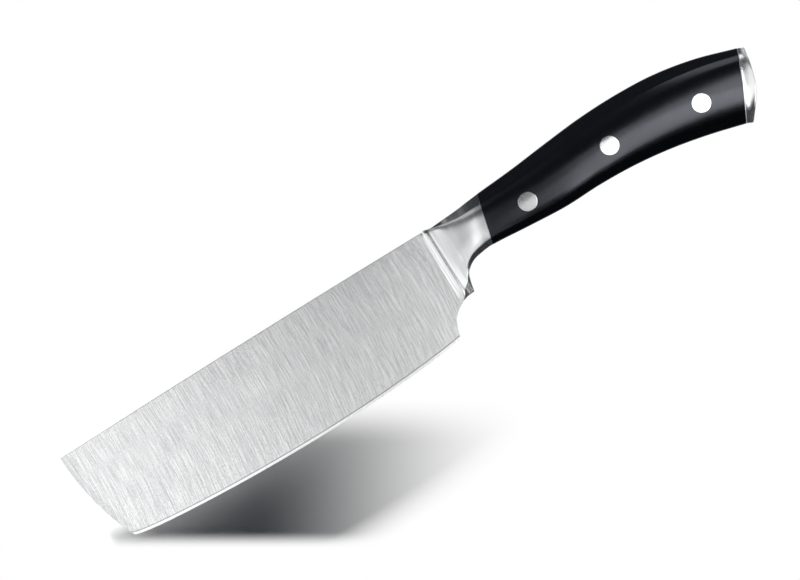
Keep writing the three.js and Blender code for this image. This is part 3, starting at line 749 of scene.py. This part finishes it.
def rivet_body(blade, grip, place, hollow):
    """Points and faces of a rivet half: a profile turned about its axis, with a head ground to the handle.

    The male half ends in a pin, the female half in a hollow shank. The head's top rows follow the
    handle's surface and fall off by a quarter circle at the rim.
    """
    head, seat = grip.rivet_head / 2, grip.tang_half + grip.rivet_seat
    if hollow:
        bore, shank = grip.rivet_pin / 2 + grip.rivet_fit, grip.rivet_shank / 2
        floor, end = seat - grip.rivet_floor, -seat + SHANK_ROOM * grip.rivet_fit
        inner = [(bore, floor), (bore, end), (shank, end), (shank, seat)]
        pole = floor
    else:
        pin, end = grip.rivet_pin / 2, -seat + grip.rivet_floor + grip.rivet_gap
        inner = [(pin, end), (pin, seat)]
        pole = end
    chamfer = grip.rivet_chamfer
    rim = head - chamfer * (1 - np.cos(RIVET_TURN))
    across = np.linspace(head - 2 * chamfer, HEAD_MIDDLE, HEAD_RINGS)
    radius = np.concatenate([[r for r, _ in inner], [head], rim, across])
    fall = np.concatenate([chamfer * (1 - np.sin(RIVET_TURN)), np.zeros(len(across))])
    angle = -np.linspace(0, 2 * math.pi, RIVET_POINTS + 1)[:-1]
    x = place[0] + radius[:, None] * np.cos(angle)
    y = place[1] + radius[:, None] * np.sin(angle)
    z = np.empty_like(x)
    deep = len(inner) + 1
    z[:deep] = np.array([h for _, h in inner] + [seat])[:, None]
    ground = grip_height(grip_rows(blade, grip), grip, x[deep:], y[deep:])
    z[deep:] = ground + grip.rivet_proud - fall[:, None]
    rings, count = x.shape
    points = np.stack([x, y, z], axis=-1).reshape(-1, 3)
    poles = np.array([[*place, pole], [*place, z[-1].mean()]])
    here = np.arange(count)
    following = (here + 1) % count
    start = len(points)
    bottom = np.stack([np.full(count, start), here, following], axis=-1)
    last = (rings - 1) * count
    top = np.stack([np.full(count, start + 1), last + following, last + here], axis=-1)
    faces = wall_faces(rings, count).tolist() + bottom.tolist() + top.tolist()
    return np.concatenate([points, poles]), faces


# Shader building

def plug(tree, socket, value):
    if isinstance(value, Wire):
        tree.links.new(value.socket, socket)
    else:
        socket.default_value = value


def math_step(operation, turned=False):
    """A Python operator as a Math node, turned where the wire stands on its right."""
    def apply(wire, other):
        return wire.math(operation, other, wire) if turned else wire.math(operation, wire, other)
    return apply


class Wire:
    """A shader socket whose values can be worked with in Python expressions, each step a Math node."""

    __add__ = math_step("ADD")
    __radd__ = math_step("ADD", True)
    __sub__ = math_step("SUBTRACT")
    __rsub__ = math_step("SUBTRACT", True)
    __mul__ = math_step("MULTIPLY")
    __rmul__ = math_step("MULTIPLY", True)
    at_least = math_step("MAXIMUM")

    def __init__(self, tree, socket):
        self.tree = tree
        self.socket = socket

    def output(self, name):
        return Wire(self.tree, self.socket.node.outputs[name])

    def math(self, operation, first, second):
        node = self.tree.nodes.new("ShaderNodeMath")
        node.operation = operation
        plug(self.tree, node.inputs[0], first)
        plug(self.tree, node.inputs[1], second)
        return Wire(self.tree, node.outputs[0])

    def held(self):
        """The value, held between 0 and 1."""
        return self.math("MINIMUM", self.at_least(0.0), 1.0)


class Finish:
    """The node tree of a material or of the world."""

    def __init__(self, owner, output):
        owner.use_nodes = True
        self.tree = owner.node_tree
        self.tree.nodes.clear()
        self.end = self.tree.nodes.new(output)

    def node(self, kind, settings, sockets, output=0):
        """Adds a node: its settings first, then the values or links of its sockets."""
        made = self.tree.nodes.new(kind)
        for key, value in settings.items():
            setattr(made, key, value)
        for key, value in sockets.items():
            plug(self.tree, made.inputs[key], value)
        return Wire(self.tree, made.outputs[output])

    def place(self):
        """The three Object coordinates."""
        where = self.node("ShaderNodeTexCoord", {}, {}, "Object")
        split = self.node("ShaderNodeSeparateXYZ", {}, {"Vector": where})
        return split, split.output("Y"), split.output("Z")

    def noise(self, x, y, z, detail):
        where = self.node("ShaderNodeCombineXYZ", {}, {"X": x, "Y": y, "Z": z})
        return self.node("ShaderNodeTexNoise", {}, {"Vector": where, "Scale": 1.0, "Detail": detail})

    def mark(self, name):
        """Values that the piece's points carry."""
        return self.node("ShaderNodeAttribute", {"attribute_name": name}, {}, "Fac")

    def blend(self, share, first, second):
        """A mix of two colours."""
        sockets = {0: share, 6: first, 7: second}
        return self.node("ShaderNodeMix", {"data_type": "RGBA"}, sockets, 2)

    def bump(self, height, strength, distance):
        sockets = {"Height": height, "Strength": strength, "Distance": distance}
        return self.node("ShaderNodeBump", {}, sockets)

    def surface(self, sockets):
        shader = self.node("ShaderNodeBsdfPrincipled", {}, sockets)
        self.tree.links.new(shader.socket, self.end.inputs["Surface"])


def new_material(name):
    material = bpy.data.materials.new(name)
    return material, Finish(material, "ShaderNodeOutputMaterial")


def rgba(colour):
    return (*colour, 1.0)


# Grinding lines: how often they change in a metre across and along them, and their weight
GRINDING = ((3600.0, 90.0, 1.0), (1700.0, 45.0, 0.1), (4500.0, 1400.0, 0.7))
ROOT_STREAKS = (1500.0, 14.0, 0.9)
# How often they change in a metre from side to side, how much smoother bright lines are, how strong and
# how deep the lines are cut, and how dark the painted shade line is where the edge's own grind starts
GRINDING_SIDE = 900.0
GRINDING_GLOSS = 0.08
GRINDING_BUMP = (0.10, 0.06 * MM)
PAINTED_SHADE_LINE_DARK = 0.9


def ground_steel(scene):
    """Blade steel, ground in fine lines from spine to edge that lean to the front near the edge.

    The lines are noise that is drawn out along the grinding, and they are longer and stronger at the
    root. The edge's own grind is painted near white as its highlight and starts at a painted shade line,
    and the band along the front is darker.
    """
    finishes, blade = scene.knife_finishes, scene.knife_blade
    origin = design_origin(blade)
    material, finish = new_material("ground_steel")
    x, y, z = finish.place()
    depth = float(origin[1]) - y
    lean = (depth - finishes.grinding_straight).at_least(0.0)
    across = x + finishes.grinding_lean * lean * lean
    side = z * GRINDING_SIDE
    near_root = x - float(origin[0]) + finishes.root_streaks
    root = (near_root * (2 / finishes.root_streaks)).held()

    def drawn(often, along, weight):
        return weight * (finish.noise(across * often, depth * along, side, 1.0) - 0.5)

    lines = sum(drawn(*layer) for layer in GRINDING) + root * drawn(*ROOT_STREAKS)
    colour = finish.blend((0.5 + finishes.grinding_contrast * lines).held(),
                          rgba(finishes.steel), rgba(finishes.steel_bright))
    # The edge's own grind is painted near white as its highlight, and a dark line of painted shade marks
    # where it starts
    over = finish.mark("over_edge") - edge_width(blade)
    keen = (over * (-1 / finishes.edge_line)).held()
    colour = finish.blend(keen, colour, rgba(finishes.edge))
    line = (1.0 - over.at_least(0.0 - over) * (1 / finishes.edge_line)).at_least(0.0)
    colour = finish.blend(PAINTED_SHADE_LINE_DARK * line, colour, rgba(finishes.edge_dark))
    # The band along the front is blended towards the dark line colour
    band = ((blade.front_band - finish.mark("behind_front")) * (1 / finishes.edge_line)).held()
    colour = finish.blend(finishes.front_darkening * band, colour, rgba(finishes.edge_dark))
    finish.surface({
        "Base Color": colour,
        "Metallic": 1.0,
        "Roughness": finishes.steel_roughness - GRINDING_GLOSS * lines,
        "Normal": finish.bump(lines, *GRINDING_BUMP),
    })
    return material


# Grain of the other finishes, in layers of noise: slant of X and Y, how often it changes in a metre along
# X, Y and Z, detail and weight. Then how strongly it shows in colour, in roughness and in height
SATIN_GRAIN = ((0.0, 0.0, 2300.0, 160.0, 160.0, 2.0, 1.0), (0.0, 0.0, 420.0, 60.0, 60.0, 2.0, 0.6))
SATIN_SHOW = (0.1, 0.08, 0.05, 0.05 * MM)
POLISH_GRAIN = ((0.0, 0.0, 300.0, 300.0, 300.0, 3.0, 0.5), (0.6, 0.6, 2600.0, 120.0, 400.0, 2.0, 1.0))
POLISH_SHOW = (0.06, 0.06, 0.01, 0.04 * MM)
SCALE_GRAIN = ((-0.25, 0.0, 2400.0, 200.0, 200.0, 2.0, 0.8), (0.0, 0.0, 260.0, 260.0, 260.0, 3.0, 0.4))
SCALE_SHOW = (0.3, 0.10, 0.03, 0.04 * MM)


def grained(name, colour, roughness, layers, show, constants):
    """A material whose colour, gloss and height all follow one grain: the weighted sum of its noises."""
    material, finish = new_material(name)
    x, y, z = finish.place()
    grain = 0.0
    for slant_x, slant_y, often_x, often_y, often_z, detail, weight in layers:
        layer = finish.noise((x + slant_x * y) * often_x, (y - slant_y * x) * often_y, z * often_z, detail)
        grain = grain + weight * (layer - 0.5)
    spread, dulling, strength, depth = show
    dark = tuple((1 - spread) * value for value in colour)
    light = tuple(min((1 + spread) * value, 1.0) for value in colour)
    finish.surface({
        "Base Color": finish.blend((0.5 + grain).held(), rgba(dark), rgba(light)),
        "Roughness": roughness + dulling * grain,
        "Normal": finish.bump(grain, strength, depth),
        **constants,
    })
    return material


def satin_steel(scene):
    """Bolster and tang steel, satin with faint lines across the grip."""
    finishes = scene.knife_finishes
    return grained("satin_steel", finishes.satin, finishes.satin_roughness,
                   SATIN_GRAIN, SATIN_SHOW, {"Metallic": 1.0})


def polished_steel(scene, name, roughness):
    """Cap and rivet steel, polished, with faint scratches."""
    return grained(name, scene.knife_finishes.polish, roughness,
                   POLISH_GRAIN, POLISH_SHOW, {"Metallic": 1.0})


def black_scale(scene):
    """Black handle scale, satin, with fine sanding lines across the handle."""
    finishes = scene.knife_finishes
    return grained("black_scale", finishes.scale, finishes.scale_roughness, SCALE_GRAIN, SCALE_SHOW,
                   {"IOR": finishes.scale_index, "Specular Tint": rgba(finishes.scale_sheen)})


# Operators

# Corners over these angles stay sharp
SMOOTH_STEEL = math.radians(24)
SMOOTH_BLADE = math.radians(9)
SMOOTH_SCALE = math.radians(40)


class KnifeBladeOperator(bpy.types.Operator):
    """Build the ground blade"""

    bl_idname = "knife.blade"
    bl_label = "Blade"

    def execute(self, context):
        scene = context.scene
        side = blade_side(scene.knife_blade, scene.knife_grip)
        points, faces = symmetric(side)
        add_piece(context, "ground_blade", points, faces, SMOOTH_BLADE,
                  ground_steel(scene), FORGING, blade_marks(scene.knife_blade, points))
        return {"FINISHED"}


class KnifeBolsterOperator(bpy.types.Operator):
    """Build the forged bolster with its bead and finger guard, and the tang behind it"""

    bl_idname = "knife.bolster"
    bl_label = "Bolster and tang"

    def execute(self, context):
        scene = context.scene
        material = satin_steel(scene)
        for name, make in (("bolster", bolster_side), ("tang", tang_side)):
            side = make(scene.knife_blade, scene.knife_grip)
            points, faces = symmetric(side)
            add_piece(context, name, points, faces, SMOOTH_STEEL, material, FORGING)
        return {"FINISHED"}


class KnifeScalesOperator(bpy.types.Operator):
    """Build the two black handle scales"""

    bl_idname = "knife.scales"
    bl_label = "Handle scales"

    def execute(self, context):
        scene = context.scene
        grip = scene.knife_grip
        material = black_scale(scene)
        outer = scale_side(scene.knife_blade, grip)
        inner = outer.copy()
        inner[..., 2] = grip.tang_half + grip.bond_gap
        sides = {"left": (outer, inner), "right": (mirrored(inner), mirrored(outer))}
        for name, (one, other) in sides.items():
            points, faces = two_sided(one, other)
            add_piece(context, f"handle_scale_{name}", points, faces, SMOOTH_SCALE,
                      material, f"scale_{name}")
        return {"FINISHED"}


class KnifeCapOperator(bpy.types.Operator):
    """Build the polished butt cap"""

    bl_idname = "knife.butt_cap"
    bl_label = "Butt cap"

    def execute(self, context):
        scene = context.scene
        side = cap_side(scene.knife_blade, scene.knife_grip)
        points, faces = symmetric(side)
        material = polished_steel(scene, "polished_cap", scene.knife_finishes.polish_roughness)
        add_piece(context, "handle_butt_cap", points, faces, SMOOTH_STEEL,
                  material, "butt_cap")
        return {"FINISHED"}


class KnifeRivetsOperator(bpy.types.Operator):
    """Build the three rivets, each in a male and a female half"""

    bl_idname = "knife.rivets"
    bl_label = "Rivets"

    def execute(self, context):
        scene = context.scene
        blade, grip = scene.knife_blade, scene.knife_grip
        material = polished_steel(scene, "rivet_steel", scene.knife_finishes.rivet_roughness)
        for name, place in zip(RIVET_NAMES, rivet_places(blade, grip)):
            points, faces = rivet_body(blade, grip, place, False)
            add_piece(context, f"rivet_pin_{name}", points, faces, SMOOTH_STEEL,
                      material, f"rivet_{name}_male")
            points, faces = rivet_body(blade, grip, place, True)
            turned = [face[::-1] for face in faces]
            add_piece(context, f"rivet_shank_{name}", mirrored(points), turned, SMOOTH_STEEL,
                      material, f"rivet_{name}_female")
        return {"FINISHED"}


# Soft boxes over the knife, seen only in reflections: x and y from and to in metres, and level
SOFT_BOXES = {
    "box_far": (-1.60, -1.10, -0.80, 0.20, 1.10),
    "box_front": (-1.10, -0.36, -0.80, 0.16, 0.72),
    "box_tip": (-0.36, -0.13, -0.25, 0.14, 1.12),
    "box_heel": (-0.36, -0.13, -0.80, -0.25, 0.80),
    "box_root": (-0.13, -0.05, -0.80, 0.08, 0.66),
    "box_grip": (0.00, 0.10, -0.40, 0.01, 0.80),
    "box_rear": (0.10, 0.17, -0.58, 0.01, 2.80),
    "box_end": (0.17, 0.35, -0.85, 0.02, 2.80),
    "box_butt": (0.35, 1.60, -0.80, -0.10, 0.95),
    "strip_front": (-1.60, -0.05, 0.34, 0.64, 0.50),
    "strip_butt": (0.25, 1.60, 0.38, 1.00, 1.00),
}
# Soft boxes that stand upright round the knife: x, y, turn about Z, width, height and level
UPRIGHT_BOXES = {
    "side_tip": (-1.60, 0.00, -90, 2.40, 0.80, 1.20),
    "side_spine": (-1.00, 1.40, 180, 1.20, 0.64, 0.42),
    "side_butt": (1.60, 0.00, 90, 2.40, 0.60, 0.35),
}
# Watts that a square metre of soft box takes for a level of 1
SOFT_BOX_POWER = 4.0


def add_lamp(scene, name, kind):
    data = bpy.data.lights.new(name, kind)
    lamp = bpy.data.objects.new(name, data)
    scene.collection.objects.link(lamp)
    lamp.visible_camera = False
    return lamp


def add_soft_box(scene, name, size, level):
    lamp = add_lamp(scene, name, "AREA")
    lamp.data.shape = "RECTANGLE"
    lamp.data.size, lamp.data.size_y = size
    lamp.data.energy = level * SOFT_BOX_POWER * size[0] * size[1]
    lamp.visible_diffuse = False
    return lamp


def add_soft_boxes(scene):
    """Area lamps over the knife and upright ones beside it, which only shine in reflections."""
    height = scene.knife_stage.box_height
    for name, (x0, x1, y0, y1, level) in SOFT_BOXES.items():
        lamp = add_soft_box(scene, name, (x1 - x0, y1 - y0), level)
        lamp.location = ((x0 + x1) / 2, (y0 + y1) / 2, height)
    for name, (x, y, turn, width, tall, level) in UPRIGHT_BOXES.items():
        lamp = add_soft_box(scene, name, (width, tall), level)
        lamp.location = (x, y, tall / 2)
        lamp.rotation_euler = (math.pi / 2, 0, math.radians(turn))


def add_sun(scene):
    """A low, soft key light from behind the spine, which lays the shadow beyond the edge."""
    stage = scene.knife_stage
    sun = add_lamp(scene, "key_light", "SUN")
    sun.data.energy = stage.sun
    sun.data.angle = stage.sun_angle
    sun.rotation_euler = (math.pi / 2 - stage.sun_height, 0, stage.sun_side + math.pi / 2)
    sun.visible_glossy = False


def ramp(value, start, end):
    """A smooth rise of a wire from 0 at start to 1 at end."""
    return smooth_step(((value - start) * (1 / (end - start))).held())


def add_floor(scene):
    """A flat square floor, lit by the key light where its shadow falls beyond the edge; all round that,
    camera and glossy rays see painted white that hides the shadow.
    """
    stage = scene.knife_stage
    half = stage.floor_size / 2
    u, v = np.meshgrid(np.linspace(-half, half, 3), np.linspace(-half, half, 3))
    points = np.stack([u, v, np.zeros_like(u)], axis=-1).reshape(-1, 3)
    corner = np.array([0, 1, 3, 4])
    quads = np.stack([corner, corner + 1, corner + 4, corner + 3], axis=-1)
    mesh = bpy.data.meshes.new("floor")
    mesh.from_pydata(points.tolist(), [], quads.tolist())
    floor = bpy.data.objects.new("floor", mesh)
    scene.collection.objects.link(floor)
    material, finish = new_material("pale_floor")
    x, y, _ = finish.place()
    middle = design_origin(scene.knife_blade) + np.array([stage.view_x, stage.view_y, 0])
    x, y = x - float(middle[0]), y - float(middle[1])
    cosine, sine = math.cos(stage.view_turn), math.sin(stage.view_turn)
    right, back = cosine * x + sine * y, cosine * y - sine * x
    to_right = ramp(right, stage.shade_right, stage.white_right)
    to_back = ramp(back, stage.shade_back, stage.white_back)
    to_front = ramp(back, stage.shade_front, stage.white_front)
    # Outside the zone beyond the edge, painted white covers the floor for camera and glossy rays and hides
    # the key light's shadow there
    clear = (1.0 - to_right) * (1.0 - to_back) * (1.0 - to_front)
    seen = finish.node("ShaderNodeLightPath", {}, {}, "Is Camera Ray")
    shown = seen.at_least(seen.output("Is Glossy Ray")).at_least(seen.output("Is Transmission Ray"))
    lit = finish.node("ShaderNodeBsdfDiffuse", {}, {"Color": rgba(stage.floor)})
    white = finish.node("ShaderNodeEmission", {}, {"Color": (1.0, 1.0, 1.0, 1.0), "Strength": 1.0})
    share = shown * (1.0 - clear)
    both = finish.node("ShaderNodeMixShader", {}, {0: share, 1: lit, 2: white})
    finish.tree.links.new(both.socket, finish.end.inputs["Surface"])
    mesh.materials.append(material)


def add_world(scene):
    """A dim studio around the soft boxes."""
    world = bpy.data.worlds.new("studio")
    scene.world = world
    finish = Finish(world, "ShaderNodeOutputWorld")
    back = finish.node("ShaderNodeBackground", {}, {"Color": rgba(scene.knife_stage.sky), "Strength": 1.0})
    finish.tree.links.new(back.socket, finish.end.inputs["Surface"])


def add_camera(scene):
    """A camera straight above, rolled so that the knife slants across the picture."""
    stage = scene.knife_stage
    origin = design_origin(scene.knife_blade)
    data = bpy.data.cameras.new("camera")
    data.lens = data.sensor_width * stage.view_height / stage.view_width
    camera = bpy.data.objects.new("camera", data)
    camera.location = origin + np.array([stage.view_x, stage.view_y, stage.view_height])
    camera.rotation_euler = (0, 0, stage.view_turn)
    scene.collection.objects.link(camera)
    scene.camera = camera


class KnifeStageOperator(bpy.types.Operator):
    """Set up the floor, the lights and the camera"""

    bl_idname = "knife.stage"
    bl_label = "Stage"

    def execute(self, context):
        scene = context.scene
        scene.view_settings.view_transform = "Standard"
        add_floor(scene)
        add_soft_boxes(scene)
        add_sun(scene)
        add_world(scene)
        add_camera(scene)
        return {"FINISHED"}


BUILDERS = (KnifeBladeOperator, KnifeBolsterOperator, KnifeScalesOperator, KnifeCapOperator,
            KnifeRivetsOperator, KnifeStageOperator)


class KnifePanel(bpy.types.Panel):
    """Lists the knife's builders"""

    bl_idname = "VIEW3D_PT_knife"
    bl_label = "Vegetable knife"
    bl_space_type = "VIEW_3D"
    bl_region_type = "UI"
    bl_category = "Knife"

    def draw(self, context):
        for builder in BUILDERS:
            self.layout.operator(builder.bl_idname)


GROUPS = {
    "knife_blade": KnifeBladeSizes,
    "knife_grip": KnifeGripSizes,
    "knife_finishes": KnifeFinishes,
    "knife_stage": KnifeStage,
}


def register():
    for group in (*GROUPS.values(), *BUILDERS, KnifePanel):
        bpy.utils.register_class(group)
    for name, group in GROUPS.items():
        setattr(bpy.types.Scene, name, bpy.props.PointerProperty(type=group))


def unregister():
    for name in GROUPS:
        delattr(bpy.types.Scene, name)
    for group in reversed((*GROUPS.values(), *BUILDERS, KnifePanel)):
        bpy.utils.unregister_class(group)


def main():
    register()
    bpy.ops.knife.blade()
    bpy.ops.knife.bolster()
    bpy.ops.knife.scales()
    bpy.ops.knife.butt_cap()
    bpy.ops.knife.rivets()
    bpy.ops.knife.stage()


if __name__ == "__main__":
    main()
